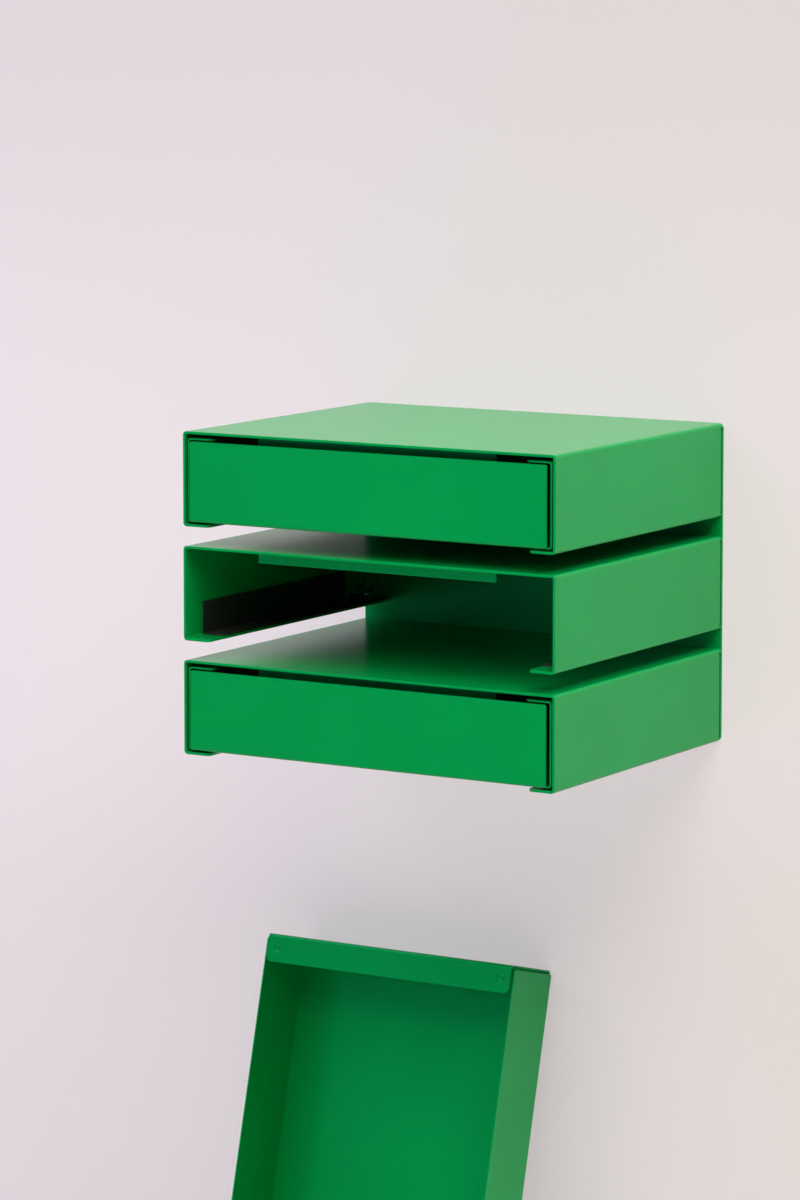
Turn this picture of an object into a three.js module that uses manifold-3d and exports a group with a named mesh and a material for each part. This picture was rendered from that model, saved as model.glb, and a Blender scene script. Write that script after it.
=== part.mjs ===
// Wall-mounted drawer unit of folded, powder-coated sheet steel.
// Millimetres. X runs across the front, Y runs from the room to the wall, Z is up.
// The origin is the centre of the back plate's rear face, which lies on the wall.

import * as THREE from "three";
import { mergeVertices } from "three/addons/utils/BufferGeometryUtils.js";
import Module from "manifold-3d";

const wasm = await Module();
wasm.setup();

// Clearances that the whole unit shares
const seatGap = 0.3; // coat of paint between two pieces that are screwed or laid together
const overrun = 2; // how far a cutter reaches past the face it cuts
const bendSteps = 3; // facets of a bend, counted per eighth of a turn
const roundSteps = 6; // facets of a rounded sheet corner, counted per eighth of a turn

// Carcass: one sheet folded into a bay that is open at the front and below
const unitWidth = 330;
const carcassDepth = 267;
const carcassHeight = 74;
const carcassGap = 15.2; // open slot between one bay and the next
const carcassSheet = 2;
const carcassBend = 3; // outer radius of its folds
const carcassFlange = 23; // bottom flange that carries the drawer, measured from the side
const flangeCorner = 4; // rounding of the flange's free corners
const bayNames = ["bottom", "middle", "top"];

// Rear tab: folded inward from the side wall to meet the back plate
const tabWidth = 12;
const tabRelief = 1.5; // slot that lets the fold start
const tabRoot = 5; // length of side wall that the tab's blank shares
const tabScrewInset = 7.2; // from the outside of the carcass
const tabScrewLow = 9.5; // above the carcass's underside
const tabScrewDrop = 14; // below the carcass's top

// Back plate: one flat sheet behind all the bays
const plateSheet = 2;
const plateCorner = 4;
const wallHoleInset = 60; // from the plate's side edge
const wallHoleRadius = 2.75;
const keyholeRadius = 5; // the wide eye that passes over a screw head
const keyholeRise = 9; // from the eye up to the slot's end

// Stop angle: hangs under the carcass's top and catches the drawer's back
const stopLength = 212;
const stopSetback = 15.5; // behind the carcass's front edge
const stopDrop = 9.4; // below the underside of the top
const stopFoot = 14; // leg that lies under the top
const stopSheet = 1.5;
const stopBend = 2.3;

// Glide: black plastic angle on the flange and side wall
const glideSheet = 1;
const glideBend = 1.5;
const glideSetback = 23; // behind the carcass's front edge
const glideLegTail = 37; // from the leg's rear end to the carcass's rear edge
const glideLegHeight = 25.6; // above the flange
const glideFoot = 20.2; // across the flange
const glideTailGap = 3; // between the foot's end and the rear tab
const nibHeight = 5; // end stop that stands on the foot
const nibLength = 3;
const stopGap = 0.4; // between a closed drawer and the end stop
const glideScrewInset = 17; // from the outside of the carcass
const glideScrewBack = 20; // in front of the carcass's rear edge

// Drawer: one sheet folded into a tray with inward top flanges
const drawerSheet = 1.2;
const drawerBend = 2.5;
const drawerRearRoom = 31.9; // behind a closed drawer, up to the carcass's rear edge
const drawerSideGap = 0.5; // between side wall and glide
const drawerSideHeight = 65.1;
const drawerPanelHeight = 62.8;
const drawerFlange = 23;
const drawerFlangeCorner = 5;
const drawerPanelCorner = 2; // rounding of a panel's free corners
const drawerSlit = 2; // open corner between a panel and a side wall
const drawerProud = 1.2; // front panel ahead of the carcass's edge
const dimpleRadius = 2.6;
const dimpleDepth = 0.7;
const dimpleSteps = 12;
const dimpleEndInset = 9.5; // from the flange's end
const dimpleSideInset = 11.5; // from the outside of the drawer

// Third drawer: lifted out of the middle bay, leaning on the wall below
const leanDegrees = 15;
const leanDrop = 203.4; // from the unit's lower edge down to its top edge
const leanRight = 13; // its right end, from the middle of the unit

// Screws
const screwRadius = 1.5;
const screwHeadRadius = 2.5;
const screwHeadHeight = 1.6;
const screwHeadRound = 0.5;
const screwSocketRadius = 1.1;
const screwSocketDepth = 0.8;
const screwSteps = 12;

// Places that follow from the sizes above
const bayPitch = carcassHeight + carcassGap;
const unitHeight = bayPitch * (bayNames.length - 1) + carcassHeight;
const unitBottom = -unitHeight / 2;
const carcassRear = -plateSheet - seatGap;
const carcassFront = carcassRear - carcassDepth;
const innerSide = unitWidth / 2 - carcassSheet;
const glideFace = innerSide - seatGap - glideSheet;
const drawerWidth = 2 * (glideFace - drawerSideGap);
const drawerRestHeight = carcassSheet + 2 * seatGap + glideSheet;
const drawerFrontPlace = carcassFront - drawerProud;
const drawerDepth = carcassDepth + drawerProud - drawerRearRoom;
const glideLegLength = carcassDepth - glideSetback - glideLegTail;
const panelWidth = drawerWidth - 2 * (drawerSheet + drawerSlit);

// Finishes
const green = { color: 0x029449, roughness: 0.42, metalness: 0 };
const blackPlastic = { color: 0x070707, roughness: 0.6, metalness: 0 };
const darkZinc = { color: 0x3a3f3c, roughness: 0.35, metalness: 0.9 };

// Turning and joining of solids

// A section drawn in X and Z, carried from the wall side towards the room.
const carryToRoom = new THREE.Matrix4().makeRotationX(Math.PI / 2);

// A section drawn in Y and Z, carried along X.
const carryAcross = new THREE.Matrix4().makeBasis(
  new THREE.Vector3(0, 1, 0),
  new THREE.Vector3(0, 0, 1),
  new THREE.Vector3(1, 0, 0),
);

// Turns a closed three.js geometry into a solid that can be joined and cut.
function solidOf(geometry) {
  const bare = geometry.index ? geometry.toNonIndexed() : geometry;
  bare.deleteAttribute("normal");
  bare.deleteAttribute("uv");
  const merged = mergeVertices(bare);
  return new wasm.Manifold(new wasm.Mesh({
    numProp: 3,
    vertProperties: new Float32Array(merged.attributes.position.array),
    triVerts: new Uint32Array(merged.index.array),
  }));
}

// Turns a solid back into a three.js geometry.
function geometryOf(solid) {
  const mesh = solid.getMesh();
  const geometry = new THREE.BufferGeometry();
  geometry.setAttribute("position", new THREE.BufferAttribute(mesh.vertProperties, 3));
  geometry.setIndex(new THREE.BufferAttribute(mesh.triVerts, 1));
  return geometry;
}

// Carries an outline over a length, then turns and moves it.
function prism(shape, length, steps, turn, x, y, z) {
  const settings = { depth: length, bevelEnabled: false, curveSegments: steps };
  const geometry = new THREE.ExtrudeGeometry(shape, settings);
  if (turn) {
    geometry.applyMatrix4(turn);
  }
  geometry.translate(x, y, z);
  return solidOf(geometry);
}

// A box between two corners.
function block(low, high) {
  const geometry = new THREE.BoxGeometry(high[0] - low[0], high[1] - low[1], high[2] - low[2]);
  geometry.translate((low[0] + high[0]) / 2, (low[1] + high[1]) / 2, (low[2] + high[2]) / 2);
  return solidOf(geometry);
}

// The section of a folded sheet. corners lists its outer face, every fold turning the same way,
// and the thickness lies inside the folds. Both faces of a fold are arcs about one centre.
function foldedSheet(corners, thickness, bend) {
  const points = corners.map(([x, y]) => new THREE.Vector2(x, y));
  const runs = points.slice(1).map((point, i) => point.clone().sub(points[i]).normalize());
  const turn = Math.sign(runs[0].cross(runs[1]));
  const inward = runs.map((run) => new THREE.Vector2(-run.y * turn, run.x * turn));
  const last = points.length - 1;
  const folds = [];
  for (let i = 1; i < last; i += 1) {
    const centre = points[i].clone();
    centre.addScaledVector(inward[i - 1], bend);
    centre.addScaledVector(inward[i], bend);
    const from = inward[i - 1].clone().negate().angle();
    const to = inward[i].clone().negate().angle();
    folds.push({ centre, from, to });
  }
  const shape = new THREE.Shape();
  shape.moveTo(points[0].x, points[0].y);
  for (const { centre, from, to } of folds) {
    shape.absarc(centre.x, centre.y, bend, from, to, turn < 0);
  }
  shape.lineTo(points[last].x, points[last].y);
  const end = points[last].clone().addScaledVector(inward[last - 1], thickness);
  shape.lineTo(end.x, end.y);
  for (const { centre, from, to } of folds.reverse()) {
    shape.absarc(centre.x, centre.y, bend - thickness, to, from, turn > 0);
  }
  const start = points[0].clone().addScaledVector(inward[0], thickness);
  shape.lineTo(start.x, start.y);
  return shape;
}

// The outline of what is cut from a sheet's square corner at x, y to round it. The sheet
// lies towards alongX and alongY, which are 1 or -1.
function cornerWaste(x, y, alongX, alongY, radius) {
  const shape = new THREE.Shape();
  const place = (u, v) => [x + alongX * u, y + alongY * v];
  shape.moveTo(...place(-overrun, -overrun));
  shape.lineTo(...place(radius, -overrun));
  shape.lineTo(...place(radius, 0));
  const arcStart = alongY > 0 ? -Math.PI / 2 : Math.PI / 2;
  const arcEnd = alongX > 0 ? Math.PI : 0;
  shape.absarc(...place(radius, radius), radius, arcStart, arcEnd, alongX * alongY > 0);
  shape.lineTo(...place(-overrun, radius));
  return shape;
}

// A round bar or hole along the outline's own Z, with an optional turn.
function rod(radius, low, high, turn, x, y, z) {
  const geometry = new THREE.CylinderGeometry(radius, radius, high - low, screwSteps);
  geometry.rotateX(Math.PI / 2);
  geometry.translate(0, 0, (low + high) / 2);
  if (turn) {
    geometry.applyMatrix4(turn);
  }
  geometry.translate(x, y, z);
  return solidOf(geometry);
}

const unit = new THREE.Group();

function addPiece(name, solid, finish, parent = unit) {
  const material = new THREE.MeshStandardMaterial(finish);
  const mesh = new THREE.Mesh(geometryOf(solid), material);
  mesh.name = name;
  parent.add(mesh);
  return mesh;
}

// Carcass

function tabScrewHeights() {
  return { low: tabScrewLow, high: carcassHeight - tabScrewDrop };
}

function carcassSolid() {
  const half = unitWidth / 2;
  const section = foldedSheet([
    [-half + carcassFlange, 0],
    [-half, 0],
    [-half, carcassHeight],
    [half, carcassHeight],
    [half, 0],
    [half - carcassFlange, 0],
  ], carcassSheet, carcassBend);
  let solid = prism(section, carcassDepth, bendSteps, carryToRoom, 0, carcassRear, 0);
  for (const side of [-1, 1]) {
    const free = side * (half - carcassFlange);
    for (const [end, alongY] of [[carcassFront, 1], [carcassRear, -1]]) {
      const waste = cornerWaste(free, end, side, alongY, flangeCorner);
      const depth = carcassSheet + 2 * overrun;
      solid = solid.subtract(prism(waste, depth, roundSteps, null, 0, 0, -overrun));
    }
    solid = foldRearTab(solid, side);
  }
  return solid;
}

// Cuts the end of one side wall away and folds the tab there inward.
function foldRearTab(carcass, side) {
  const outside = side * unitWidth / 2;
  const tabLow = carcassBend + tabRelief;
  const tabHigh = carcassHeight - tabLow;
  const cutX = [outside + side * overrun, outside - side * carcassBend];
  const notch = block(
    [Math.min(...cutX), carcassRear - carcassBend, carcassBend],
    [Math.max(...cutX), carcassRear + overrun, carcassHeight - carcassBend],
  );
  const plan = foldedSheet([
    [outside, carcassRear - carcassBend - tabRoot],
    [outside, carcassRear],
    [outside - side * tabWidth, carcassRear],
  ], carcassSheet, carcassBend);
  const tab = prism(plan, tabHigh - tabLow, bendSteps, null, 0, 0, tabLow);
  let solid = carcass.subtract(notch).add(tab);
  const x = outside - side * tabScrewInset;
  for (const z of Object.values(tabScrewHeights())) {
    const depth = carcassSheet + overrun;
    solid = solid.subtract(rod(screwRadius + seatGap, -overrun, depth, carryToRoom, x, carcassRear, z));
  }
  const glideX = outside - side * glideScrewInset;
  const glideY = carcassRear - glideScrewBack;
  return solid.subtract(
    rod(screwRadius + seatGap, -overrun, carcassSheet + overrun, null, glideX, glideY, 0),
  );
}

// Back plate

function roundedRectangle(width, height, radius) {
  const x = width / 2 - radius;
  const y = height / 2 - radius;
  const shape = new THREE.Shape();
  shape.absarc(x, y, radius, 0, Math.PI / 2, false);
  shape.absarc(-x, y, radius, Math.PI / 2, Math.PI, false);
  shape.absarc(-x, -y, radius, Math.PI, 1.5 * Math.PI, false);
  shape.absarc(x, -y, radius, 1.5 * Math.PI, 2 * Math.PI, false);
  return shape;
}

// A keyhole: a wide eye with a narrow slot that rises from it.
function keyhole(x, y) {
  const path = new THREE.Path();
  const half = Math.asin(wallHoleRadius / keyholeRadius);
  path.absarc(x, y, keyholeRadius, Math.PI / 2 + half, Math.PI / 2 - half + 2 * Math.PI, false);
  path.absarc(x, y + keyholeRise, wallHoleRadius, 0, Math.PI, false);
  path.closePath();
  return path;
}

function plateSolid() {
  const shape = roundedRectangle(unitWidth, unitHeight, plateCorner);
  const holeX = unitWidth / 2 - wallHoleInset;
  const topBay = unitBottom + bayPitch * (bayNames.length - 1) + carcassHeight / 2;
  const bottomBay = unitBottom + carcassHeight / 2;
  for (const x of [-holeX, holeX]) {
    shape.holes.push(keyhole(x, topBay));
    const round = new THREE.Path();
    round.absarc(x, bottomBay, wallHoleRadius, 0, 2 * Math.PI, false);
    shape.holes.push(round);
  }
  let solid = prism(shape, plateSheet, roundSteps, carryToRoom, 0, 0, 0);
  for (let bay = 0; bay < bayNames.length; bay += 1) {
    for (const height of Object.values(tabScrewHeights())) {
      for (const side of [-1, 1]) {
        const x = side * (unitWidth / 2 - tabScrewInset);
        const z = unitBottom + bay * bayPitch + height;
        const hole = rod(screwRadius + seatGap, -overrun, plateSheet + overrun, carryToRoom, x, 0, z);
        solid = solid.subtract(hole);
      }
    }
  }
  return solid;
}

// Stop angle

function stopSolid() {
  const face = carcassFront + stopSetback;
  const roof = carcassHeight - carcassSheet - seatGap;
  const section = foldedSheet([
    [face, carcassHeight - carcassSheet - stopDrop],
    [face, roof],
    [face + stopFoot, roof],
  ], stopSheet, stopBend);
  return prism(section, stopLength, bendSteps, carryAcross, -stopLength / 2, 0, 0);
}

// Glide

function glideSolid(side) {
  const wall = side * (innerSide - seatGap);
  const floor = carcassSheet + seatGap;
  const free = wall - side * glideFoot;
  const front = carcassFront + glideSetback;
  const legEnd = front + glideLegLength;
  const footEnd = carcassRear - carcassSheet - glideTailGap;
  const section = foldedSheet([
    [wall, floor + glideLegHeight],
    [wall, floor],
    [free, floor],
  ], glideSheet, glideBend);
  const angle = prism(section, glideLegLength, bendSteps, carryToRoom, 0, legEnd, 0);
  const footX = [wall - side * glideBend, free];
  const low = Math.min(...footX);
  const high = Math.max(...footX);
  const tail = block([low, legEnd - glideBend, floor], [high, footEnd, floor + glideSheet]);
  const nibFace = drawerFrontPlace + drawerDepth + stopGap;
  const nibTop = floor + glideSheet + nibHeight;
  const nib = block([low, nibFace, floor], [high, nibFace + nibLength, nibTop]);
  const x = side * (unitWidth / 2 - glideScrewInset);
  const y = carcassRear - glideScrewBack;
  const hole = rod(screwRadius + seatGap, 0, floor + glideSheet + overrun, null, x, y, 0);
  return angle.add(tail).add(nib).subtract(hole);
}

// Drawer

// A pressed dimple: a shallow bowl, sunk into the flange, that swells below it.
function dimpleBowl(x, y, bottom) {
  const ballRadius = (dimpleRadius ** 2 + dimpleDepth ** 2) / (2 * dimpleDepth);
  const reach = Math.asin(dimpleRadius / ballRadius);
  const profile = [];
  for (let i = 0; i <= bendSteps; i += 1) {
    const angle = reach * (i / bendSteps);
    profile.push(new THREE.Vector2(ballRadius * Math.sin(angle), ballRadius * (1 - Math.cos(angle))));
  }
  profile.push(new THREE.Vector2(dimpleRadius, dimpleDepth + overrun));
  profile.push(new THREE.Vector2(0, dimpleDepth + overrun));
  const bowl = new THREE.LatheGeometry(profile, dimpleSteps);
  bowl.rotateX(Math.PI / 2);
  bowl.translate(x, y, bottom);
  return solidOf(bowl);
}

function pressDimple(drawer, x, y) {
  const top = drawerSideHeight;
  const swell = dimpleBowl(x, y, top - drawerSheet - dimpleDepth);
  const sunk = dimpleBowl(x, y, top - dimpleDepth);
  const low = top - drawerSheet - dimpleDepth - overrun;
  const reach = dimpleRadius + overrun;
  const slice = block([x - reach, y - reach, low], [x + reach, y + reach, top]);
  return drawer.add(swell.intersect(slice)).subtract(sunk);
}

// Y is 0 at the front panel's face and Z is 0 under the floor.
function drawerSolid() {
  const half = drawerWidth / 2;
  const sideSection = foldedSheet([
    [-half + drawerFlange, drawerSideHeight],
    [-half, drawerSideHeight],
    [-half, 0],
    [half, 0],
    [half, drawerSideHeight],
    [half - drawerFlange, drawerSideHeight],
  ], drawerSheet, drawerBend);
  const sideStart = drawerBend;
  const sideEnd = drawerDepth - drawerBend;
  const sides = prism(sideSection, sideEnd - sideStart, bendSteps, carryToRoom, 0, sideEnd, 0);
  const panelSection = foldedSheet([
    [0, drawerPanelHeight],
    [0, 0],
    [drawerDepth, 0],
    [drawerDepth, drawerPanelHeight],
  ], drawerSheet, drawerBend);
  const panels = prism(panelSection, panelWidth, bendSteps, carryAcross, -panelWidth / 2, 0, 0);
  let solid = sides.add(panels);
  const cutDepth = drawerSheet + 2 * overrun;
  for (const side of [-1, 1]) {
    const free = side * (half - drawerFlange);
    for (const [end, alongY] of [[sideStart, 1], [sideEnd, -1]]) {
      const waste = cornerWaste(free, end, side, alongY, drawerFlangeCorner);
      const low = drawerSideHeight - drawerSheet - overrun;
      solid = solid.subtract(prism(waste, cutDepth, roundSteps, null, 0, 0, low));
      solid = pressDimple(solid, side * (half - dimpleSideInset), end + alongY * dimpleEndInset);
    }
    const panelEdge = side * panelWidth / 2;
    for (const panelInside of [drawerSheet, drawerDepth]) {
      const waste = cornerWaste(panelEdge, drawerPanelHeight, -side, -1, drawerPanelCorner);
      const near = panelInside + overrun;
      solid = solid.subtract(prism(waste, cutDepth, roundSteps, carryToRoom, 0, near, 0));
    }
  }
  return solid;
}

// Screws: button heads with a socket. The shank points down from the head's underside.

function screwSolid(length) {
  const top = screwHeadHeight;
  const edge = screwHeadRadius - screwHeadRound;
  const profile = [
    new THREE.Vector2(0, -length),
    new THREE.Vector2(screwRadius, -length),
    new THREE.Vector2(screwRadius, 0),
    new THREE.Vector2(screwHeadRadius, 0),
    new THREE.Vector2(screwHeadRadius, top / 2),
    new THREE.Vector2(edge, top),
    new THREE.Vector2(screwSocketRadius, top),
    new THREE.Vector2(screwSocketRadius, top - screwSocketDepth),
    new THREE.Vector2(0, top - screwSocketDepth),
  ];
  const geometry = new THREE.LatheGeometry(profile, screwSteps);
  geometry.rotateX(Math.PI / 2);
  return solidOf(geometry);
}

// Assembly

addPiece("back_plate", plateSolid(), green);

const tabScrewLength = carcassSheet + seatGap + plateSheet;
const glideScrewLength = glideSheet + seatGap + carcassSheet;
const carcass = carcassSolid();
const stop = stopSolid();
const drawer = drawerSolid();
const sideNames = { left: -1, right: 1 };

bayNames.forEach((bayName, bay) => {
  const baseHeight = unitBottom + bay * bayPitch;
  const bayGroup = new THREE.Group();
  bayGroup.position.z = baseHeight;
  unit.add(bayGroup);
  addPiece(`carcass_${bayName}`, carcass, green, bayGroup);
  addPiece(`stop_angle_${bayName}`, stop, green, bayGroup);
  for (const [sideName, side] of Object.entries(sideNames)) {
    addPiece(`glide_${bayName}_${sideName}`, glideSolid(side), blackPlastic, bayGroup);
    const glideScrew = addPiece(
      `glide_screw_${bayName}_${sideName}`,
      screwSolid(glideScrewLength),
      darkZinc,
      bayGroup,
    );
    glideScrew.position.set(
      side * (unitWidth / 2 - glideScrewInset),
      carcassRear - glideScrewBack,
      carcassSheet + glideSheet + 2 * seatGap,
    );
    for (const [level, height] of Object.entries(tabScrewHeights())) {
      const tabScrew = addPiece(
        `plate_screw_${bayName}_${sideName}_${level}`,
        screwSolid(tabScrewLength),
        darkZinc,
        bayGroup,
      );
      tabScrew.rotation.x = Math.PI / 2;
      tabScrew.position.set(
        side * (unitWidth / 2 - tabScrewInset),
        carcassRear - carcassSheet - seatGap,
        height,
      );
    }
  }
});

for (const bayName of ["top", "bottom"]) {
  const piece = addPiece(`drawer_${bayName}`, drawer, green);
  const baseHeight = unitBottom + bayNames.indexOf(bayName) * bayPitch;
  piece.position.set(0, drawerFrontPlace, baseHeight + drawerRestHeight);
}

// The third drawer stands on one side with its tray facing the room. Its own X axis
// points up the slope, its own Z axis out of the tray and its front panel to the right.
const lean = THREE.MathUtils.degToRad(leanDegrees);
const upSlope = new THREE.Vector3(0, Math.sin(lean), Math.cos(lean));
const outOfTray = new THREE.Vector3(0, -Math.cos(lean), Math.sin(lean));
const toRearPanel = new THREE.Vector3().crossVectors(outOfTray, upSlope);
const leaning = new THREE.Group();
leaning.setRotationFromMatrix(new THREE.Matrix4().makeBasis(upSlope, toRearPanel, outOfTray));
leaning.position.set(leanRight, 0, unitBottom - leanDrop);
leaning.position.addScaledVector(upSlope, -drawerWidth / 2);
unit.add(leaning);
addPiece("drawer_middle", drawer, green, leaning);

export default unit;
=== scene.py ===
# Wall-mounted drawer unit of folded, powder-coated steel: the looks.
# Metres. X runs across the front, Y runs from the room to the wall, Z is up.

import math

import bmesh
import bpy
import numpy as np
from mathutils import Matrix, Vector


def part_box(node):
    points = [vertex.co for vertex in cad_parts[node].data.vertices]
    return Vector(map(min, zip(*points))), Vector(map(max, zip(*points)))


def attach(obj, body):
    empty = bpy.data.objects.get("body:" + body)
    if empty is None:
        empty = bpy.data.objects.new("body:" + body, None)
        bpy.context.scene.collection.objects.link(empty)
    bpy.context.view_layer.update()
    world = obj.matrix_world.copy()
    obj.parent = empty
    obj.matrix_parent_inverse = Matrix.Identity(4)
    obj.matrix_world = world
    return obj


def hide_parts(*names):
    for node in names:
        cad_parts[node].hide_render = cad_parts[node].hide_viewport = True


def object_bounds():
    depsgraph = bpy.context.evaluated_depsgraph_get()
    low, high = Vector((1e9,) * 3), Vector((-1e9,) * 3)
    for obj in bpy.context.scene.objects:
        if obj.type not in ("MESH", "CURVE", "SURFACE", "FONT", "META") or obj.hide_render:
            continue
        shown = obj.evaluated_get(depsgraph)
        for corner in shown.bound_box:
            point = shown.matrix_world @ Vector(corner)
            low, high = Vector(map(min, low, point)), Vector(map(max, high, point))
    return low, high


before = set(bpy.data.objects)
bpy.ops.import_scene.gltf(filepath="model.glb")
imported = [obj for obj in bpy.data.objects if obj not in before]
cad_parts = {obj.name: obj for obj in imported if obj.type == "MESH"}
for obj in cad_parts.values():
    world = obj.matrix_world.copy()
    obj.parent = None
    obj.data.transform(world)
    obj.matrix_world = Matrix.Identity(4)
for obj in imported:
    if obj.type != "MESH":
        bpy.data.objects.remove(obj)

cad_box = [list(corner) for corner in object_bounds()]

# Back plate
# One flat steel sheet that lies on the wall and carries all three bays. It is punched with
# keyholes, round holes and screw holes, tumbled so that its edges are soft, and powder coated.

MM = 0.001
PLATE_SHEET = 2 * MM
PLATE_CORNER = 4 * MM
WALL_HOLE_INSET = 60 * MM
WALL_HOLE_RADIUS = 2.75 * MM
KEYHOLE_RADIUS = 5 * MM
KEYHOLE_RISE = 9 * MM
SCREW_HOLE_RADIUS = 1.8 * MM
TAB_SCREW_INSET = 7.2 * MM
TAB_SCREW_LOW = 9.5 * MM
TAB_SCREW_DROP = 14 * MM
PAINT_EDGE = 0.4 * MM
SHARP_ANGLE = 50
EDGE_SEGMENTS = 3
QUARTER_STEPS = 8
BAYS = ["bottom", "middle", "top"]

COAT_GREEN = (0.0006, 0.336, 0.0750)
COAT_GREEN_DEEP = (0.0004, 0.319, 0.0700)
COAT_ROUGHNESS = 0.24
COAT_IOR = 1.8
COAT_GLOSS_TINT = (0.0, 0.75, 0.25, 1.0)
COAT_CLOUD = 90 * MM
COAT_CLOUD_EDGES = (0.35, 0.65)
COAT_CLOUD_GLOSS = 0.015
COAT_WAVE = 9 * MM
COAT_WAVE_SHARE = 1.5
ORANGE_PEEL = 1.3 * MM
ORANGE_PEEL_GLOSS = 0.04
ORANGE_PEEL_HEIGHT = 0.008 * MM


class Wire:
    """A shader socket. Arithmetic on it adds Math nodes, and node() adds any other node."""

    def __init__(self, tree, socket):
        self.tree = tree
        self.socket = socket

    def node(self, kind, settings, inputs, output=0):
        """Adds a node with its settings, then fills or links its inputs, and wraps one output."""
        made = self.tree.nodes.new(kind)
        for name, value in settings.items():
            setattr(made, name, value)
        for name, value in inputs.items():
            if isinstance(value, Wire):
                self.tree.links.new(value.socket, made.inputs[name])
            else:
                made.inputs[name].default_value = value
        return Wire(self.tree, made.outputs[output])

    def math(self, operation, first, second):
        return self.node("ShaderNodeMath", {"operation": operation}, {0: first, 1: second})

    def __add__(self, other):
        return self.math("ADD", self, other)

    def __radd__(self, other):
        return self.math("ADD", other, self)

    def __sub__(self, other):
        return self.math("SUBTRACT", self, other)

    def __rsub__(self, other):
        return self.math("SUBTRACT", other, self)

    def __mul__(self, other):
        return self.math("MULTIPLY", self, other)

    def into(self, shader, socket):
        self.tree.links.new(self.socket, shader.inputs[socket])


def new_finish(name):
    """A material with its principled shader and a wire that carries Object coordinates."""
    material = bpy.data.materials.new(name)
    material.use_nodes = True
    tree = material.node_tree
    place = Wire(tree, tree.nodes.new("ShaderNodeTexCoord").outputs["Object"])
    return material, tree.nodes["Principled BSDF"], place


def noise(place, size, detail):
    """Soft noise from 0 to 1, 0.5 on average, whose lumps are about that size in metres.
    detail is how many finer layers it has."""
    inputs = {"Vector": place, "Scale": 1 / size, "Detail": detail}
    return place.node("ShaderNodeTexNoise", {}, inputs)


def ramp(value, low, high, start=0.0, end=1.0):
    """Smooth step from start to end while value goes from low to high."""
    settings = {"interpolation_type": "SMOOTHSTEP"}
    inputs = {"Value": value, "From Min": low, "From Max": high, "To Min": start, "To Max": end}
    return value.node("ShaderNodeMapRange", settings, inputs)


def blend(share, first, second):
    """The colour that goes from first to second as share goes from 0 to 1."""
    settings = {"data_type": "RGBA"}
    inputs = {0: share, 6: (*first, 1.0), 7: (*second, 1.0)}
    return share.node("ShaderNodeMix", settings, inputs, output=2)


def bump(height, distance):
    """The surface normal that a height field gives, distance metres for each unit."""
    inputs = {"Height": height, "Distance": distance, "Strength": 1.0}
    return height.node("ShaderNodeBump", {}, inputs)


def powder_coat():
    """Satin green powder coat: cloudy by a shade, with a fine orange peel in its gloss. Its
    gloss is green face on and white at a glance, as the photograph's fronts and tops are."""
    material, shader, place = new_finish("green_powder_coat")
    cloud = noise(place, COAT_CLOUD, 3.0)
    peel = noise(place, ORANGE_PEEL, 1.0)
    wave = noise(place, COAT_WAVE, 1.0)
    shade = ramp(cloud, *COAT_CLOUD_EDGES)
    blend(shade, COAT_GREEN_DEEP, COAT_GREEN).into(shader, "Base Color")
    clouded = COAT_ROUGHNESS + (cloud - 0.5) * COAT_CLOUD_GLOSS
    (clouded + (peel - 0.5) * ORANGE_PEEL_GLOSS).into(shader, "Roughness")
    bump(peel + wave * COAT_WAVE_SHARE, ORANGE_PEEL_HEIGHT).into(shader, "Normal")
    shader.inputs["IOR"].default_value = COAT_IOR
    shader.inputs["Specular Tint"].default_value = COAT_GLOSS_TINT
    return material


def thicken(points, normals, faces, thickness):
    """A closed sheet. Its outer face is as given, its inner face lies thickness below along the
    normals, and every edge that only one face has gets a quad of rim between the two."""
    count = len(points)
    nodes = np.concatenate([points, points - thickness * normals])
    edges = np.stack([faces, np.roll(faces, -1, axis=1)], axis=-1).reshape(-1, 2)
    paired = np.isin(edges[:, 0] * count + edges[:, 1], edges[:, 1] * count + edges[:, 0])
    start, end = edges[~paired].T
    rim = np.stack([end, start, start + count, end + count], axis=-1)
    return nodes, faces.tolist() + (faces[:, ::-1] + count).tolist() + rim.tolist()


def add_piece(name, shape, material, body="root", edge=PAINT_EDGE):
    """Puts points and faces into an object that stands for the CAD node of the same name.
    Its sharp edges are rounded by that much, as the finish rounds them."""
    points, faces = shape
    mesh = bpy.data.meshes.new(name)
    mesh.from_pydata(points.tolist(), [], faces)
    mesh.validate()
    mesh.shade_smooth()
    piece = bpy.data.objects.new(f"{name}_piece", mesh)
    bpy.context.scene.collection.objects.link(piece)
    mesh.materials.append(material)
    soft = piece.modifiers.new("soft edge", "BEVEL")
    soft.width = edge
    soft.segments = EDGE_SEGMENTS
    soft.limit_method = "ANGLE"
    soft.angle_limit = math.radians(SHARP_ANGLE)
    soft.harden_normals = True
    flat = piece.modifiers.new("flat faces", "WEIGHTED_NORMAL")
    flat.keep_sharp = True
    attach(piece, body)
    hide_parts(name)


def arc(centre, radius, start, end, steps):
    """Points of an arc: centre + radius * (cos, sin), the angle going from start to end."""
    angle = np.linspace(math.radians(start), math.radians(end), steps)
    return np.array(centre) + radius * np.stack([np.cos(angle), np.sin(angle)], axis=-1)


def circle(centre, radius, steps=4 * QUARTER_STEPS):
    return arc(centre, radius, 0, 360, steps + 1)[:-1]


def rounded_rectangle(low, high, radius):
    """Four quarter arcs, whose ends the straight sides join."""
    near, far = np.array(low) + radius, np.array(high) - radius
    centres = [(far[0], far[1]), (near[0], far[1]), (near[0], near[1]), (far[0], near[1])]
    corners = [
        arc(centre, radius, start, start + 90, QUARTER_STEPS + 1)
        for centre, start in zip(centres, (0, 90, 180, 270))
    ]
    return np.concatenate(corners)


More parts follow.
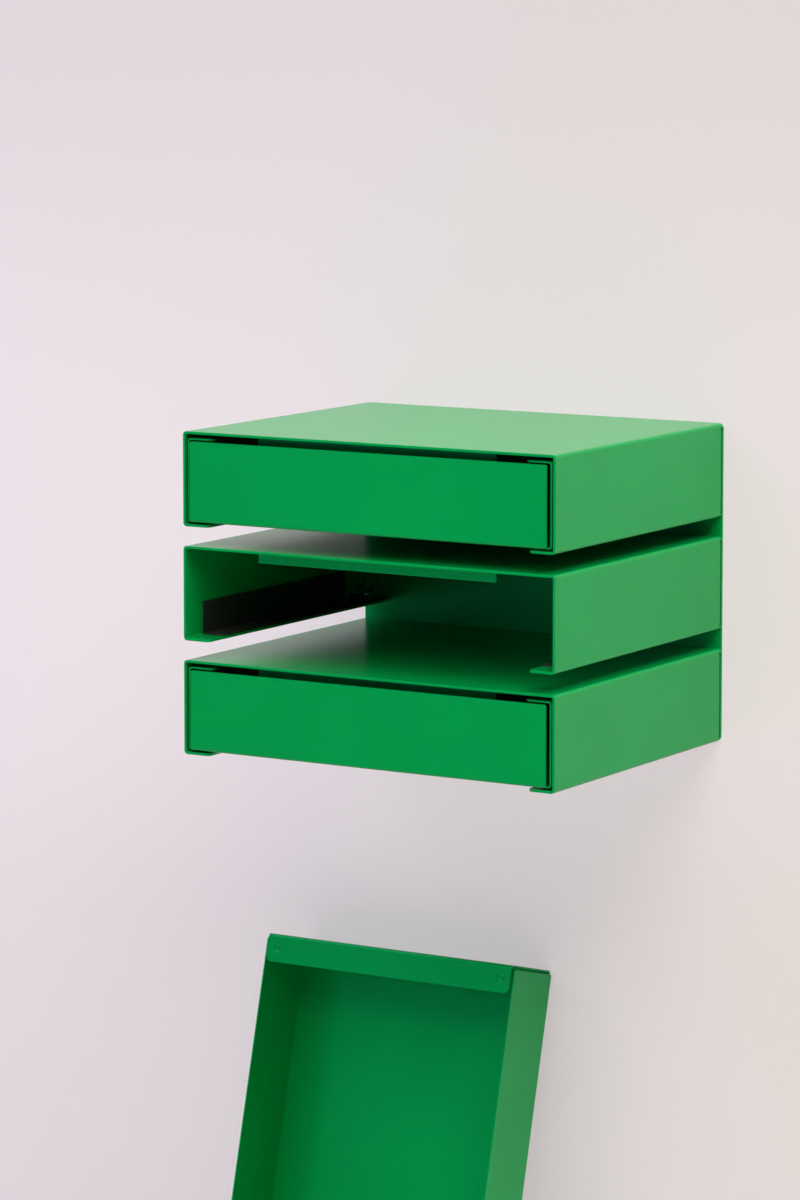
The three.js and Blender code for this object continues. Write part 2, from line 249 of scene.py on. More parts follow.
def keyhole(x, z):
    """A wide eye, and a slot of half its width that rises from it to a round end."""
    half = math.degrees(math.asin(WALL_HOLE_RADIUS / KEYHOLE_RADIUS))
    eye = arc((x, z), KEYHOLE_RADIUS, 90 + half, 450 - half, 4 * QUARTER_STEPS + 1)
    end = arc((x, z + KEYHOLE_RISE), WALL_HOLE_RADIUS, 0, 180, 2 * QUARTER_STEPS + 1)
    return np.concatenate([eye, end])


def punched_sheet(outlines, y, thickness):
    """A flat sheet between an outer outline and the holes in it, filled with triangles."""
    cutter = bmesh.new()
    for outline in outlines:
        ring = [cutter.verts.new((x, y, z)) for x, z in outline]
        for first, second in zip(ring, ring[1:] + ring[:1]):
            cutter.edges.new((first, second))
    bmesh.ops.triangle_fill(cutter, use_beauty=True, edges=cutter.edges[:])
    cutter.verts.index_update()
    points = np.array([corner.co[:] for corner in cutter.verts])
    faces = np.array([[corner.index for corner in face.verts] for face in cutter.faces])
    cutter.free()
    first, second, third = points[faces].transpose(1, 0, 2)
    back_to_front = np.cross(second - first, third - first)[:, 1] > 0
    faces[back_to_front] = faces[back_to_front][:, ::-1]
    normals = np.tile([0.0, -1.0, 0.0], (len(points), 1))
    return thicken(points, normals, faces, thickness)


plate_low, plate_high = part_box("back_plate")
carcass_boxes = {bay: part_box(f"carcass_{bay}") for bay in BAYS}
plate_outlines = [rounded_rectangle(plate_low.xz, plate_high.xz, PLATE_CORNER)]
for side in (-1, 1):
    hole_x = side * (plate_high.x - WALL_HOLE_INSET)
    for bay in BAYS:
        bay_low, bay_high = (corner.z for corner in carcass_boxes[bay])
        for height in (bay_low + TAB_SCREW_LOW, bay_high - TAB_SCREW_DROP):
            place = (side * (plate_high.x - TAB_SCREW_INSET), height)
            plate_outlines.append(circle(place, SCREW_HOLE_RADIUS, 2 * QUARTER_STEPS))
    top_bay_middle = sum(corner.z for corner in carcass_boxes["top"]) / 2
    bottom_bay_middle = sum(corner.z for corner in carcass_boxes["bottom"]) / 2
    plate_outlines.append(keyhole(hole_x, top_bay_middle))
    plate_outlines.append(circle((hole_x, bottom_bay_middle), WALL_HOLE_RADIUS))

coat = powder_coat()
plate_shape = punched_sheet(plate_outlines, plate_low.y, PLATE_SHEET)
add_piece("back_plate", plate_shape, coat)

# Carcasses
# Each bay is one steel sheet folded into a top, two sides and two bottom flanges, with a tab
# folded inward at the rear of each side that two screws hold to the plate. Same green coat.

CARCASS_SHEET = 2 * MM
CARCASS_BEND = 3 * MM
CARCASS_FLANGE = 23 * MM
FLANGE_CORNER = 4 * MM
TAB_WIDTH = 12 * MM
TAB_RELIEF = 1.5 * MM
TAB_LEAD = 1 * MM
WELD = 0.001 * MM
BEND_STEPS = 10
CORNER_STEPS = 9
RUN_STEPS = 5
MERGE_DECIMALS = 8


def fold_path(corners, bend):
    """The outer face of a sheet with right-angled folds, as a function of the distance run.
    A straight run is start + way * distance. A fold is centre + bend * normal, where the
    normal turns from one run's outward way to the next as (cos, sin) of distance / bend.
    Returns the function, which gives points and normals, and the distances where runs end."""
    corners = np.array(corners, float)
    runs = np.diff(corners, axis=0)
    lengths = np.linalg.norm(runs, axis=1)
    ways = runs / lengths[:, None]
    turn = np.sign(ways[0, 0] * ways[1, 1] - ways[0, 1] * ways[1, 0])
    outward = turn * np.stack([ways[:, 1], -ways[:, 0]], axis=-1)
    lead = np.where(np.arange(len(runs)) > 0, bend, 0.0)
    tail = np.where(np.arange(len(runs)) < len(runs) - 1, bend, 0.0)
    spans = np.zeros(2 * len(runs) - 1)
    spans[0::2] = lengths - lead - tail
    spans[1::2] = bend * math.pi / 2
    breaks = np.concatenate([[0.0], np.cumsum(spans)])

    def path(distance):
        part = np.clip(np.searchsorted(breaks, distance, side="right") - 1, 0, len(spans) - 1)
        run = part // 2
        after = np.minimum(run + 1, len(runs) - 1)
        gone = (distance - breaks[part])[..., None]
        straight = corners[run] + ways[run] * (lead[run][..., None] + gone)
        angle = gone / bend
        turning = outward[run] * np.cos(angle) + outward[after] * np.sin(angle)
        centre = corners[run + 1] - bend * (outward[run] + outward[after])
        in_fold = (part % 2 == 1)[..., None]
        points = np.where(in_fold, centre + bend * turning, straight)
        return points, np.where(in_fold, turning, outward[run])

    return path, breaks


def stations(breaks, *extra):
    """The distances at which a folded sheet gets a row of points: where its runs end, evenly
    round its folds, and at the extra places."""
    folds = np.linspace(breaks[1:-1:2], breaks[2::2], BEND_STEPS + 1)
    every = np.concatenate([breaks, folds.ravel(), *[np.ravel(places) for places in extra]])
    return np.unique(np.round(every, MERGE_DECIMALS))


def corner_places(radius):
    """Distances from 0 to radius, close together at 0, the edge, where a corner's arc turns."""
    angle = np.linspace(0, math.pi / 2, CORNER_STEPS)
    return radius * (1 - np.cos(angle))


def corner_cut(distance, radius):
    """How far a rounded corner draws the sheet's end back, at that distance from its side."""
    inside = np.clip(1 - distance / radius, 0, 1)
    return radius * (1 - np.sqrt(1 - inside**2))


def spread(x, y, z):
    """Three coordinates, each stretched over the whole grid, as one array of points or ways."""
    return np.stack(np.broadcast_arrays(x, y, z), axis=-1)


def patch(points, normals, keep=None):
    """A grid of points as quads that face along the normals. keep marks the cells of sheet."""
    rows, columns = points.shape[:2]
    index = np.arange(rows * columns).reshape(rows, columns)
    quads = np.stack([index[:-1, :-1], index[1:, :-1], index[1:, 1:], index[:-1, 1:]], axis=-1)
    quads = quads.reshape(-1, 4) if keep is None else quads[keep]
    flat_points, flat_normals = points.reshape(-1, 3), normals.reshape(-1, 3)
    first, second, third, fourth = flat_points[quads].transpose(1, 0, 2)
    facing = np.cross(third - first, fourth - second) * flat_normals[quads].sum(axis=1)
    inside_out = facing.sum(axis=1) < 0
    quads[inside_out] = quads[inside_out][:, ::-1]
    return flat_points, flat_normals, quads


def folded_sheet(patches, thickness):
    """Welds patches of a sheet's outer face where their points meet, and thickens the whole."""
    sizes = np.cumsum([0] + [len(points) for points, _, _ in patches[:-1]])
    points = np.concatenate([points for points, _, _ in patches])
    normals = np.concatenate([normals for _, normals, _ in patches])
    quads = np.concatenate([quads + size for size, (_, _, quads) in zip(sizes, patches)])
    grid = np.round(points / WELD).astype(np.int64)
    _, first, place = np.unique(grid, axis=0, return_index=True, return_inverse=True)
    quads = place.reshape(-1)[quads]
    used, quads = np.unique(quads, return_inverse=True)
    kept = first[used]
    return thicken(points[kept], normals[kept], quads.reshape(-1, 4), thickness)


def carcass_shape(low, high):
    """Outer face P(s, t): s runs round the section in X and Z, and t from the front edge to
    the rear edge, whose ends the flanges' rounded corners draw back. Between the reliefs the
    side wall stops a fold's radius short, and its tab goes on round that fold."""
    section, breaks = fold_path(
        [
            (low.x + CARCASS_FLANGE, low.z),
            (low.x, low.z),
            (low.x, high.z),
            (high.x, high.z),
            (high.x, low.z),
            (high.x - CARCASS_FLANGE, low.z),
        ],
        CARCASS_BEND,
    )
    length = breaks[-1]
    sides = [(breaks[2], breaks[3]), (breaks[6], breaks[7])]
    reliefs = [(start + TAB_RELIEF, end - TAB_RELIEF) for start, end in sides]
    rounding = corner_places(FLANGE_CORNER)
    s = stations(breaks, rounding, length - rounding, reliefs)
    t = np.linspace(0, 1, RUN_STEPS)
    place, outward = section(s)
    drawn = corner_cut(np.minimum(s, length - s), FLANGE_CORNER)
    fold_start = high.y - CARCASS_BEND
    main_y = (low.y + drawn)[:, None] + t * (fold_start - low.y - drawn)[:, None]
    rear_end = np.maximum(high.y - drawn, fold_start)
    rear_y = np.stack([np.full(len(s), fold_start), rear_end], axis=-1)
    patches = []
    middle = (s[:-1] + s[1:]) / 2
    for y, keep in ((main_y, None), (rear_y, rear_cells(middle, sides))):
        points = spread(place[:, None, 0], y, place[:, None, 1])
        normals = spread(outward[:, None, 0], 0 * y, outward[:, None, 1])
        patches.append(patch(points, normals, keep))
    for side, (start, end) in zip((-1, 1), reliefs):
        wall = s[(s > start - WELD) & (s < end + WELD)]
        heights = section(wall)[0][:, 1]
        patches.append(rear_tab(side * high.x, side, fold_start, high.y, heights))
    return folded_sheet(patches, CARCASS_SHEET)


def rear_cells(middle, sides):
    """The last strip of the sheet is cut away along the side walls, where the tabs fold."""
    cut = np.zeros(len(middle), bool)
    for start, end in sides:
        cut |= (middle > start) & (middle < end)
    return ~cut[:, None]


def rear_tab(outside, side, fold_start, rear, heights):
    """A tab that folds inward from the side wall: the same arc and run in X and Y at every
    height. Its path has a short lead along the wall, whose first row is left to the wall."""
    plan, breaks = fold_path(
        [(outside, fold_start - TAB_LEAD), (outside, rear), (outside - side * TAB_WIDTH, rear)],
        CARCASS_BEND,
    )
    place, outward = plan(stations(breaks)[1:])
    points = spread(place[None, :, 0], place[None, :, 1], heights[:, None])
    normals = spread(outward[None, :, 0], outward[None, :, 1], 0 * heights[:, None])
    return patch(points, normals)


for bay in BAYS:
    add_piece(f"carcass_{bay}", carcass_shape(*carcass_boxes[bay]), coat)

# Stop angles
# A short folded strip that hangs under each top, a little behind its front edge, and keeps
# the drawer from falling out. Thinner sheet than the carcass, and the same green coat.

STOP_SHEET = 1.5 * MM
STOP_BEND = 2.3 * MM


def stop_shape(low, high):
    """Outer face P(s, t): s runs up the drop and back along the foot, and t along X."""
    corners = [(low.y, low.z), (low.y, high.z), (high.y, high.z)]
    section, breaks = fold_path(corners, STOP_BEND)
    place, outward = section(stations(breaks))
    x = np.linspace(low.x, high.x, RUN_STEPS)
    points = spread(x[None, :], place[:, None, 0], place[:, None, 1])
    normals = spread(0 * x[None, :], outward[:, None, 0], outward[:, None, 1])
    return folded_sheet([patch(points, normals)], STOP_SHEET)


for bay in BAYS:
    node = f"stop_angle_{bay}"
    add_piece(node, stop_shape(*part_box(node)), coat)

# Glides
# A black plastic angle on each flange and side wall, on which the drawer slides. The upright
# leg ends well before the plate, the foot goes on, and a rib on it stops the drawer.

GLIDE_SHEET = 1 * MM
GLIDE_BEND = 1.5 * MM
GLIDE_LEG_TAIL = 37 * MM
NIB_HEIGHT = 5 * MM
NIB_LENGTH = 3 * MM
NIB_SINK = 0.3 * MM
STOP_GAP = 0.4 * MM
GLIDE_EDGE = 0.25 * MM
PLASTIC_BLACK = (0.016, 0.0155, 0.016)
PLASTIC_BLACK_WORN = (0.024, 0.0235, 0.024)
PLASTIC_ROUGHNESS = 0.55
STREAK = 2.5 * MM
STREAK_STRETCH = (1.0, 0.06, 1.0)
STREAK_EDGES = (0.45, 0.8)
STREAK_POLISH = 0.12
SPARK_GRAIN = 0.5 * MM
SPARK_GRAIN_GLOSS = 0.1
SPARK_GRAIN_HEIGHT = 0.02 * MM


def black_plastic():
    """Moulded black plastic with a fine spark-eroded grain, rubbed a little paler in streaks
    along Y, the way the drawer slides."""
    material, shader, place = new_finish("black_glide_plastic")
    stretch = {"Vector": place, "Scale": STREAK_STRETCH}
    along = place.node("ShaderNodeMapping", {}, stretch)
    worn = ramp(noise(along, STREAK, 2.0), *STREAK_EDGES)
    grain = noise(place, SPARK_GRAIN, 2.0)
    blend(worn, PLASTIC_BLACK, PLASTIC_BLACK_WORN).into(shader, "Base Color")
    polished = PLASTIC_ROUGHNESS - worn * STREAK_POLISH
    (polished + (grain - 0.5) * SPARK_GRAIN_GLOSS).into(shader, "Roughness")
    bump(grain, SPARK_GRAIN_HEIGHT).into(shader, "Normal")
    return material


def glide_shape(low, high, side, leg_end, nib_face):
    """Outer face P(s, t): s runs down the leg and across the foot, t along Y. The leg's cells
    end at leg_end. The rib is a thick strip that stands across the foot."""
    wall, free = (low.x, high.x) if side < 0 else (high.x, low.x)
    section, breaks = fold_path([(wall, high.z), (wall, low.z), (free, low.z)], GLIDE_BEND)
    s = stations(breaks)
    place, outward = section(s)
    y = np.array([low.y, leg_end, high.y])
    points = spread(place[:, None, 0], y, place[:, None, 1])
    normals = spread(outward[:, None, 0], 0 * y, outward[:, None, 1])
    on_foot = (s[:-1] + s[1:]) / 2 > breaks[2]
    keep = np.stack([np.ones_like(on_foot), on_foot], axis=-1)
    angle, angle_faces = folded_sheet([patch(points, normals, keep)], GLIDE_SHEET)
    foot_top = low.z + GLIDE_SHEET
    x, z = np.meshgrid(
        [wall - side * GLIDE_BEND, free], [foot_top - NIB_SINK, foot_top + NIB_HEIGHT]
    )
    face = spread(x, nib_face, z)
    toward_drawer = np.broadcast_to([0.0, -1.0, 0.0], face.shape)
    nib, nib_faces = folded_sheet([patch(face, toward_drawer)], NIB_LENGTH)
    moved = [[corner + len(angle) for corner in quad] for quad in nib_faces]
    return np.concatenate([angle, nib]), angle_faces + moved


plastic = black_plastic()
drawer_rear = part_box("drawer_top")[1].y
for bay in BAYS:
    leg_end = carcass_boxes[bay][1].y - GLIDE_LEG_TAIL
    for side, side_name in ((-1, "left"), (1, "right")):
        node = f"glide_{bay}_{side_name}"
        shape = glide_shape(*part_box(node), side, leg_end, drawer_rear + STOP_GAP)
        add_piece(node, shape, plastic, edge=GLIDE_EDGE)

# Screws
# Button-head screws of black-passivated zinc. Two go through each rear tab into the plate,
# pointing to the wall, and one goes down through the rear of each glide's foot.

SCREW_RADIUS = 1.5 * MM
SCREW_CHAMFER = 0.3 * MM
HEAD_RADIUS = 2.5 * MM
HEAD_HEIGHT = 1.6 * MM
HEAD_RIM = 0.5 * MM
SOCKET_HALF = 1.0 * MM
SOCKET_DEPTH = 0.9 * MM
CROWN_RADIUS = 1.4 * SOCKET_HALF
SCREW_EDGE = 0.04 * MM
SCREW_STEPS = 48
DOME_STEPS = 7
ZINC_DARK = (0.12, 0.125, 0.12)
ZINC_LIGHT = (0.36, 0.37, 0.36)
ZINC_CLOUD = 1.2 * MM
ZINC_CLOUD_EDGES = (0.4, 0.7)
ZINC_ROUGHNESS = 0.28
ZINC_MARKS = 0.15 * MM
ZINC_MARKS_GLOSS = 0.2
ZINC_MARKS_HEIGHT = 0.01 * MM


def dark_zinc():
    """Black-passivated zinc: a dark metal, clouded, with fine marks that catch the light."""
    material, shader, place = new_finish("dark_zinc_plate")
    cloud = noise(place, ZINC_CLOUD, 3.0)
    marks = noise(place, ZINC_MARKS, 2.0)
    shade = ramp(cloud, *ZINC_CLOUD_EDGES)
    blend(shade, ZINC_DARK, ZINC_LIGHT).into(shader, "Base Color")
    (ZINC_ROUGHNESS + (marks - 0.5) * ZINC_MARKS_GLOSS).into(shader, "Roughness")
    bump(marks, ZINC_MARKS_HEIGHT).into(shader, "Normal")
    shader.inputs["Metallic"].default_value = 1.0
    return material


def screw_shape(length):
    """A profile of radius against height, carried round Z. The socket's radius at an angle is
    that of a hexagon: its half width / cos(angle from the middle of the nearest side)."""
    dome = np.linspace(0, math.pi / 2, DOME_STEPS)
    dome_radius = CROWN_RADIUS + (HEAD_RADIUS - CROWN_RADIUS) * np.cos(dome)
    dome_height = HEAD_RIM + (HEAD_HEIGHT - HEAD_RIM) * np.sin(dome)
    tip = SCREW_RADIUS - SCREW_CHAMFER
    radius = np.array([tip, SCREW_RADIUS, SCREW_RADIUS, HEAD_RADIUS, *dome_radius, 0, 0])
    socket_floor = HEAD_HEIGHT - SOCKET_DEPTH
    shank = [-length, SCREW_CHAMFER - length, 0, 0]
    height = np.array([*shank, *dome_height, HEAD_HEIGHT, socket_floor])
    angle = np.linspace(0, 2 * math.pi, SCREW_STEPS, endpoint=False)
    sixth = math.pi / 3
    hexagon = SOCKET_HALF / np.cos((angle + sixth / 2) % sixth - sixth / 2)
    reach = np.repeat(radius[:, None], SCREW_STEPS, axis=1)
    reach[-2:] = hexagon
    points = spread(reach * np.cos(angle), reach * np.sin(angle), height[:, None])
    index = np.arange(points.shape[0] * SCREW_STEPS).reshape(-1, SCREW_STEPS)
    beside = np.roll(index, -1, axis=1)
    quads = np.stack([index[:-1], beside[:-1], beside[1:], index[1:]], axis=-1).reshape(-1, 4)
    caps = [index[0, ::-1].tolist(), index[-1].tolist()]
    return points.reshape(-1, 3), quads.tolist() + caps


def turned(points, turn, place):
    """The points turned by a 3 by 3 matrix and moved."""
    return points @ np.array(turn).T + np.array(place)


zinc = dark_zinc()
to_room = Matrix.Rotation(math.pi / 2, 3, "X")
upright = Matrix.Identity(3)
for node in sorted(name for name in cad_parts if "screw" in name):
    low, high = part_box(node)
    centre = (low + high) / 2
    if node.startswith("plate_screw"):
        under_head = (centre.x, low.y + HEAD_HEIGHT, centre.z)
        points, faces = screw_shape(high.y - low.y - HEAD_HEIGHT)
        shape = (turned(points, to_room, under_head), faces)
    else:
        under_head = (centre.x, centre.y, high.z - HEAD_HEIGHT)
        points, faces = screw_shape(high.z - low.z - HEAD_HEIGHT)
        shape = (turned(points, upright, under_head), faces)
    add_piece(node, shape, zinc, edge=SCREW_EDGE)

# Drawers
# Each drawer is one cross-shaped steel sheet: a floor, a front and a rear panel, and two sides
# with inward flanges, pressed with a dimple near each end. The middle one leans on the wall.

DRAWER_SHEET = 1.2 * MM
DRAWER_BEND = 2.5 * MM
DRAWER_FLANGE = 23 * MM
DRAWER_FLANGE_CORNER = 5 * MM
DRAWER_PANEL_HEIGHT = 62.8 * MM
DRAWER_PANEL_CORNER = 2 * MM
DRAWER_SLIT = 2 * MM
DIMPLE_RADIUS = 3.8 * MM
DIMPLE_DEPTH = 1.1 * MM
DIMPLE_STEPS = 13
DIMPLE_END_INSET = 9.5 * MM
DIMPLE_SIDE_INSET = 11.5 * MM
LEAN_DEGREES = 15
LEAN_DROP = 203.4 * MM
LEAN_RIGHT = 13 * MM


def dimple(u, v, centre_u, centre_v):
    """Depth of a pressed dimple at u, v: depth * (1 - r^4), r in dimple radii, 0 outside."""
    gap = np.hypot(u - centre_u, v - centre_v) / DIMPLE_RADIUS
    return DIMPLE_DEPTH * (1 - np.minimum(gap, 1.0) ** 4)


def drawer_shape(width, depth, height):
    """Outer face of the cross, P(s, t). In the side band s runs round the flanges, sides and
    floor, and t from the front to the rear. In the panel band t runs up the front panel and the
    rear panel too, and s only across the floor. X is across, Y 0 is the front face and Z 0 is
    under the floor."""
    half = width / 2
    inner = half - DRAWER_FLANGE
    section, breaks = fold_path(
        [
            (-inner, height),
            (-half, height),
            (-half, 0),
            (half, 0),
            (half, height),
            (inner, height),
        ],
        DRAWER_BEND,
    )
    length = breaks[-1]
    start, end = DRAWER_BEND, depth - DRAWER_BEND
    rounding = corner_places(DRAWER_FLANGE_CORNER)
    dimple_s = breaks[1] + DRAWER_BEND - DIMPLE_SIDE_INSET
    grid = DIMPLE_RADIUS * np.linspace(-1, 1, DIMPLE_STEPS)
    panel_half = half - DRAWER_SHEET - DRAWER_SLIT
    floor_middle = length / 2
    panel_rounding = panel_half - DRAWER_PANEL_CORNER + corner_places(DRAWER_PANEL_CORNER)
    across_floor = np.concatenate([-panel_rounding, panel_rounding, [-panel_half, panel_half]])
    s = stations(
        breaks, rounding, length - rounding, dimple_s + grid, length - dimple_s - grid,
        floor_middle + across_floor,
    )
    dimple_y = np.array([start + DIMPLE_END_INSET, end - DIMPLE_END_INSET])
    dimple_rows = (dimple_y[:, None] + grid).ravel()
    y = np.unique(np.round([start, end, *dimple_rows], MERGE_DECIMALS))
    t = (y - start) / (end - start)
    place, outward = section(s)
    drawn = corner_cut(np.minimum(s, length - s), DRAWER_FLANGE_CORNER)
    band_y = (start + drawn)[:, None] + t * (end - start - 2 * drawn)[:, None]
    sunk = sum(
        dimple(s[:, None], band_y, centre_s, centre_y)
        for centre_s in (dimple_s, length - dimple_s)
        for centre_y in dimple_y
    )
    points = spread(place[:, None, 0], band_y, place[:, None, 1] - sunk)
    normals = spread(outward[:, None, 0], 0 * band_y, outward[:, None, 1])
    patches = [patch(points, normals)]
    panels, panel_breaks = fold_path(
        [(0, DRAWER_PANEL_HEIGHT), (0, 0), (depth, 0), (depth, DRAWER_PANEL_HEIGHT)],
        DRAWER_BEND,
    )
    on_floor = np.abs(s - floor_middle) < panel_half + WELD
    x = section(s[on_floor])[0][:, 0]
    total = panel_breaks[-1]
    up = corner_places(DRAWER_PANEL_CORNER)
    every = stations(panel_breaks, up, total - up)
    front_band = every[every <= panel_breaks[2]]
    rear_band = every[every >= panel_breaks[3]]
    for band, below_top in ((front_band, front_band), (rear_band, total - rear_band)):
        place, outward = panels(band)
        narrowed = panel_half - corner_cut(below_top, DRAWER_PANEL_CORNER)
        band_x = x[:, None] * (narrowed / panel_half)
        points = spread(band_x, place[None, :, 0], place[None, :, 1])
        normals = spread(0 * band_x, outward[None, :, 0], outward[None, :, 1])
        patches.append(patch(points, normals))
    return folded_sheet(patches, DRAWER_SHEET)


drawer_low, drawer_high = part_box("drawer_top")
drawer_size = drawer_high - drawer_low
drawer_points, drawer_faces = drawer_shape(*drawer_size)
for bay in ("top", "bottom"):
    node = f"drawer_{bay}"
    low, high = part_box(node)
    points = turned(drawer_points, upright, (0, low.y, low.z))
    add_piece(node, (points, drawer_faces), coat, body=node)

lean = math.radians(LEAN_DEGREES)
up_slope = np.array([0, math.sin(lean), math.cos(lean)])
out_of_tray = np.array([0, -math.cos(lean), math.sin(lean)])
to_rear_panel = np.cross(out_of_tray, up_slope)
lean_turn = np.stack([up_slope, to_rear_panel, out_of_tray], axis=-1)
lean_place = np.array([LEAN_RIGHT, 0, plate_low.z - LEAN_DROP]) - up_slope * drawer_size.x / 2
leaning_points = turned(drawer_points, lean_turn, lean_place)
add_piece("drawer_middle", (leaning_points, drawer_faces), coat)

# Wall and floor
# The unit hangs on a pale painted wall, and the lifted-out drawer stands on a pale floor
# below the photograph's edge. Neither is part of the object.

WALL_HALF_WIDTH = 4.0
WALL_TOP = 3.2
WALL_GAP = 0.3 * MM
# Wall colour at the left and at the right: pale paint with painted light on it, cool on the left
# and warm on the right.
WALL_LEFT_COOL_LIT = (0.885, 0.805, 0.870)
WALL_RIGHT_WARM_LIT = (0.850, 0.780, 0.785)
WALL_COLOUR_EDGES = (-0.6, 0.5)
WALL_ROUGHNESS = 0.9
WALL_SPECULAR = 0.2
WALL_GRAIN = 3 * MM
WALL_GRAIN_HEIGHT = 0.05 * MM
# How much of the wall the camera sees as a painted glow of even light, which is less low down,
# and how much gloss sees of it.
WALL_EVENNESS = 0.66
WALL_EVENNESS_LOW = 0.50
WALL_EVENNESS_EDGES = (-0.35, -0.12)
WALL_EVENNESS_IN_GLOSS = 0.30
# Strength of that painted glow: dimmer towards the top, which is painted shade.
WALL_LEVEL = 1.0
WALL_LEVEL_HIGH = 0.79
WALL_LEVEL_EDGES = (0.05, 0.55)
FLOOR_COLOUR = (0.66, 0.63, 0.62)
FLOOR_DARKER = 0.97
FLOOR_CLOUD = 400 * MM
FLOOR_ROUGHNESS = 0.8
FLOOR_REACH = 3.2
FLOOR_GAP = 0.5 * MM
SEE_THROUGH = 0.45 * MM


def flat_stage(name, first, across, along, steps=12):
    """A flat grid P(u, v) = first + u * across + v * along."""
    u, v = np.meshgrid(np.linspace(0, 1, steps), np.linspace(0, 1, steps), indexing="ij")
    points = np.array(first) + u[..., None] * np.array(across) + v[..., None] * np.array(along)
    facing = np.cross(across, along)
    facing = np.broadcast_to(facing / np.linalg.norm(facing), points.shape)
    vertices, _, quads = patch(points, facing)
    mesh = bpy.data.meshes.new(name)
    mesh.from_pydata(vertices.tolist(), [], quads.tolist())
    stage = bpy.data.objects.new(name, mesh)
    bpy.context.scene.collection.objects.link(stage)
    return mesh


def wall_paint_and_glow():
    """Matt pale wall paint with painted light on it: its colour shifts from cool on the left to
    warm on the right, standing in for a cool light from the left and a warm one from the right.
    The camera sees most of it as a painted glow of even light, less so low down, and the glow
    dims towards the top, which is painted shade. Gloss sees some of the glow too. The wall lets
    through what looks at it from behind, and what starts right on it, so that the plate's rear
    face is lit."""
    material, shader, place = new_finish("wall_paint_and_glow")
    tree = material.node_tree
    axes = tree.nodes.new("ShaderNodeSeparateXYZ")
    place.into(axes, "Vector")
    x, z = Wire(tree, axes.outputs["X"]), Wire(tree, axes.outputs["Z"])
    ray = tree.nodes.new("ShaderNodeLightPath")
    camera_ray = Wire(tree, ray.outputs["Is Camera Ray"])
    glossy_ray = Wire(tree, ray.outputs["Is Glossy Ray"])
    roller = noise(place, WALL_GRAIN, 2.0)
    # Painted light: the wall's colour goes from cool to warm along X, standing in for a cool
    # light from the left and a warm light from the right.
    paint_and_light_colour = blend(ramp(x, *WALL_COLOUR_EDGES), WALL_LEFT_COOL_LIT, WALL_RIGHT_WARM_LIT)
    paint_and_light_colour.into(shader, "Base Color")
    bump(roller, WALL_GRAIN_HEIGHT).into(shader, "Normal")
    shader.inputs["Roughness"].default_value = WALL_ROUGHNESS
    shader.inputs["Specular IOR Level"].default_value = WALL_SPECULAR
    behind = place.node("ShaderNodeNewGeometry", {}, {}, output="Backfacing")
    close = place.math("LESS_THAN", Wire(tree, ray.outputs["Ray Length"]), SEE_THROUGH)
    share = behind.math("MAXIMUM", behind, close)
    clear = place.node("ShaderNodeBsdfTransparent", {}, {})
    # The painted glow: the wall's colour as an emission, dimmer towards the top as painted shade.
    # Camera and gloss rays see it in part in place of the lit paint.
    level = ramp(z, *WALL_LEVEL_EDGES, WALL_LEVEL, WALL_LEVEL_HIGH)
    even = place.node("ShaderNodeEmission", {}, {"Color": paint_and_light_colour, "Strength": level})
    evenness = ramp(z, *WALL_EVENNESS_EDGES, WALL_EVENNESS_LOW, WALL_EVENNESS)
    evenly_seen = camera_ray * evenness + glossy_ray * WALL_EVENNESS_IN_GLOSS
    lit = Wire(tree, shader.outputs[0])
    paint = place.node("ShaderNodeMixShader", {}, {0: evenly_seen, 1: lit, 2: even})
    wall = place.node("ShaderNodeMixShader", {}, {0: share, 1: paint, 2: clear})
    wall.into(tree.nodes["Material Output"], "Surface")
    return material


def floor_paint():
    """Matt pale floor, clouded by a shade."""
    material, shader, place = new_finish("floor_paint")
    cloud = noise(place, FLOOR_CLOUD, 3.0)
    darker = tuple(FLOOR_DARKER * part for part in FLOOR_COLOUR)
    blend(cloud, darker, FLOOR_COLOUR).into(shader, "Base Color")
    shader.inputs["Roughness"].default_value = FLOOR_ROUGHNESS
    return material


floor_height = cad_box[0][2] - FLOOR_GAP
wall_width = (2 * WALL_HALF_WIDTH, 0, 0)
wall_height = (0, 0, WALL_TOP - floor_height)
wall_corner = (-WALL_HALF_WIDTH, WALL_GAP, floor_height)
flat_stage("wall", wall_corner, wall_width, wall_height).materials.append(wall_paint_and_glow())
floor_corner = (-WALL_HALF_WIDTH, WALL_GAP - FLOOR_REACH, floor_height)
floor_depth = (0, FLOOR_REACH, 0)
flat_stage("floor", floor_corner, wall_width, floor_depth).materials.append(floor_paint())

# Light
# Plain soft studio light: a large soft box high on the right, a warm one above the camera,
# three weaker cool ones from the left, and one behind the wall for the views from there.

ROOM_LIGHT = 0.03
BACKGROUND = 0.85
BACKGROUND_COLOUR = (1.0, 0.985, 0.99, 1.0)
LAMP_REACH = 3.0
LAMP_SIDE = 2.0
REAR_LAMP_HEIGHT = 1.6
LAMP_AIM = (0, -0.13, 0)
PLAIN = (1.0, 1.0, 1.0)
WARM = (1.0, 0.95, 0.60)
COOL = (0.95, 1.0, 1.20)
# Name, turn to the right and rise above the floor in degrees, height in metres, watts, colour
LAMPS = [
    ("high_box", 75, 60, LAMP_SIDE, 76, PLAIN),
    ("key_box", 31, 45, LAMP_SIDE, 44, WARM),
    ("left_box", -60, 40, LAMP_SIDE, 19, COOL),
    ("left_front_box", -20, 40, LAMP_SIDE, 13, COOL),
    ("left_low_box", -20, 10, LAMP_SIDE, 7, COOL),
    ("rear_box", 198, 24, REAR_LAMP_HEIGHT, 70, PLAIN),
]


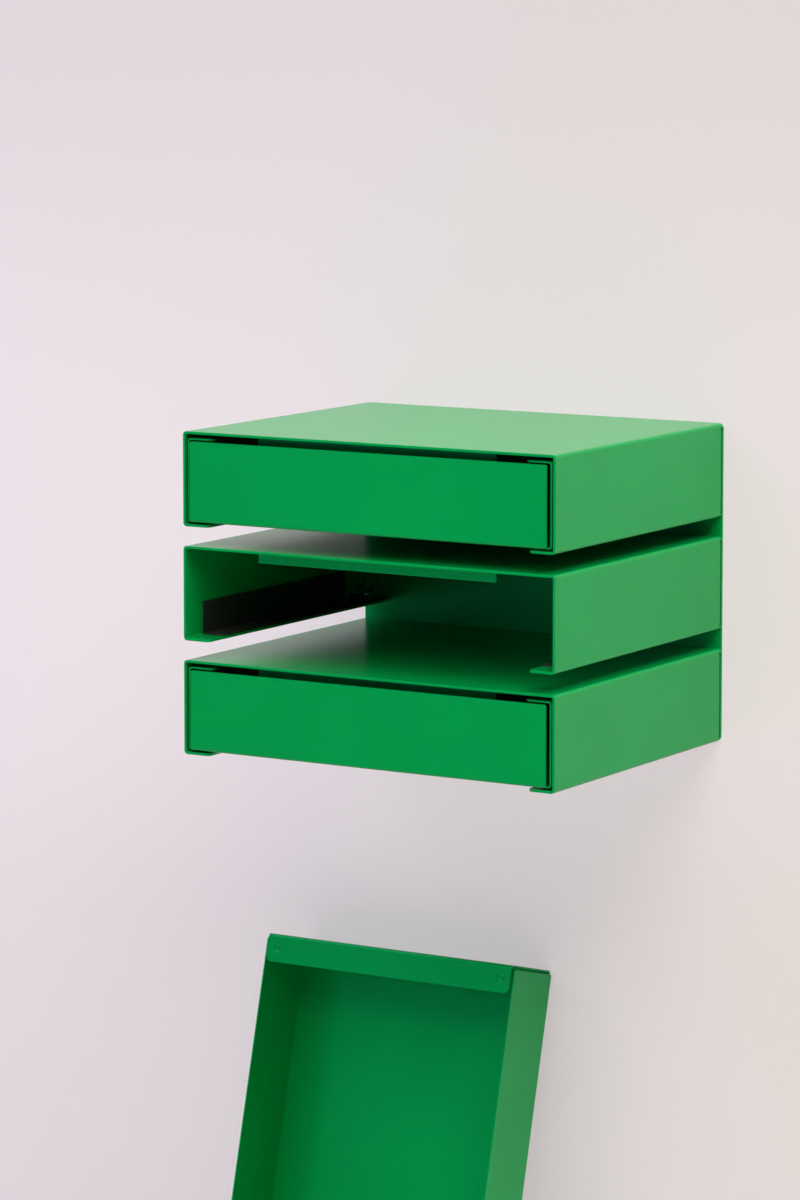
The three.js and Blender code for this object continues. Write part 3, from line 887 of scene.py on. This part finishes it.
def soft_box(name, turn, rise, height, watts, colour):
    """An area lamp that shines at LAMP_AIM from LAMP_REACH away. It stands at turn, which runs
    from the front, where it is 0, to the right, and at rise above the floor."""
    lamp = bpy.data.lights.new(name, "AREA")
    lamp.shape = "RECTANGLE"
    lamp.size = LAMP_SIDE
    lamp.size_y = height
    lamp.energy = watts
    lamp.color = colour
    box = bpy.data.objects.new(name, lamp)
    around, up = math.radians(turn), math.radians(rise)
    flat = Vector((math.sin(around), -math.cos(around), 0)) * math.cos(up)
    way = flat + Vector((0, 0, math.sin(up)))
    box.location = Vector(LAMP_AIM) + way * LAMP_REACH
    box.rotation_mode = "QUATERNION"
    box.rotation_quaternion = way.to_track_quat("Z", "Y")
    bpy.context.scene.collection.objects.link(box)


for lamp_values in LAMPS:
    soft_box(*lamp_values)

room = bpy.data.worlds.new("room")
bpy.context.scene.world = room
room.use_nodes = True
light_path = room.node_tree.nodes.new("ShaderNodeLightPath")
sky = room.node_tree.nodes["Background"]
seen = Wire(room.node_tree, light_path.outputs["Is Camera Ray"])
(seen * (BACKGROUND - ROOM_LIGHT) + ROOM_LIGHT).into(sky, "Strength")
sky.inputs["Color"].default_value = BACKGROUND_COLOUR

# Camera
# The photograph's view: from the front right and a little above, with a long lens. Upright
# lines are upright in the photograph, and a small downward shift comes near to that.

CAMERA_PLACE = (1.76749, -3.12314, 0.48495)
CAMERA_TURN = 31.316
CAMERA_DIP = 5.809
CAMERA_LENS = 134.494
CAMERA_SENSOR = 36
CAMERA_SHIFT = -0.15

view = bpy.data.cameras.new("camera")
view.lens = CAMERA_LENS
view.sensor_width = CAMERA_SENSOR
view.shift_y = CAMERA_SHIFT
camera = bpy.data.objects.new("camera", view)
bpy.context.scene.collection.objects.link(camera)
camera.matrix_world = (
    Matrix.Translation(CAMERA_PLACE)
    @ Matrix.Rotation(math.radians(CAMERA_TURN), 4, "Z")
    @ Matrix.Rotation(math.radians(90 - CAMERA_DIP), 4, "X")
)
bpy.context.scene.camera = camera
bpy.context.scene.view_settings.view_transform = "Standard"
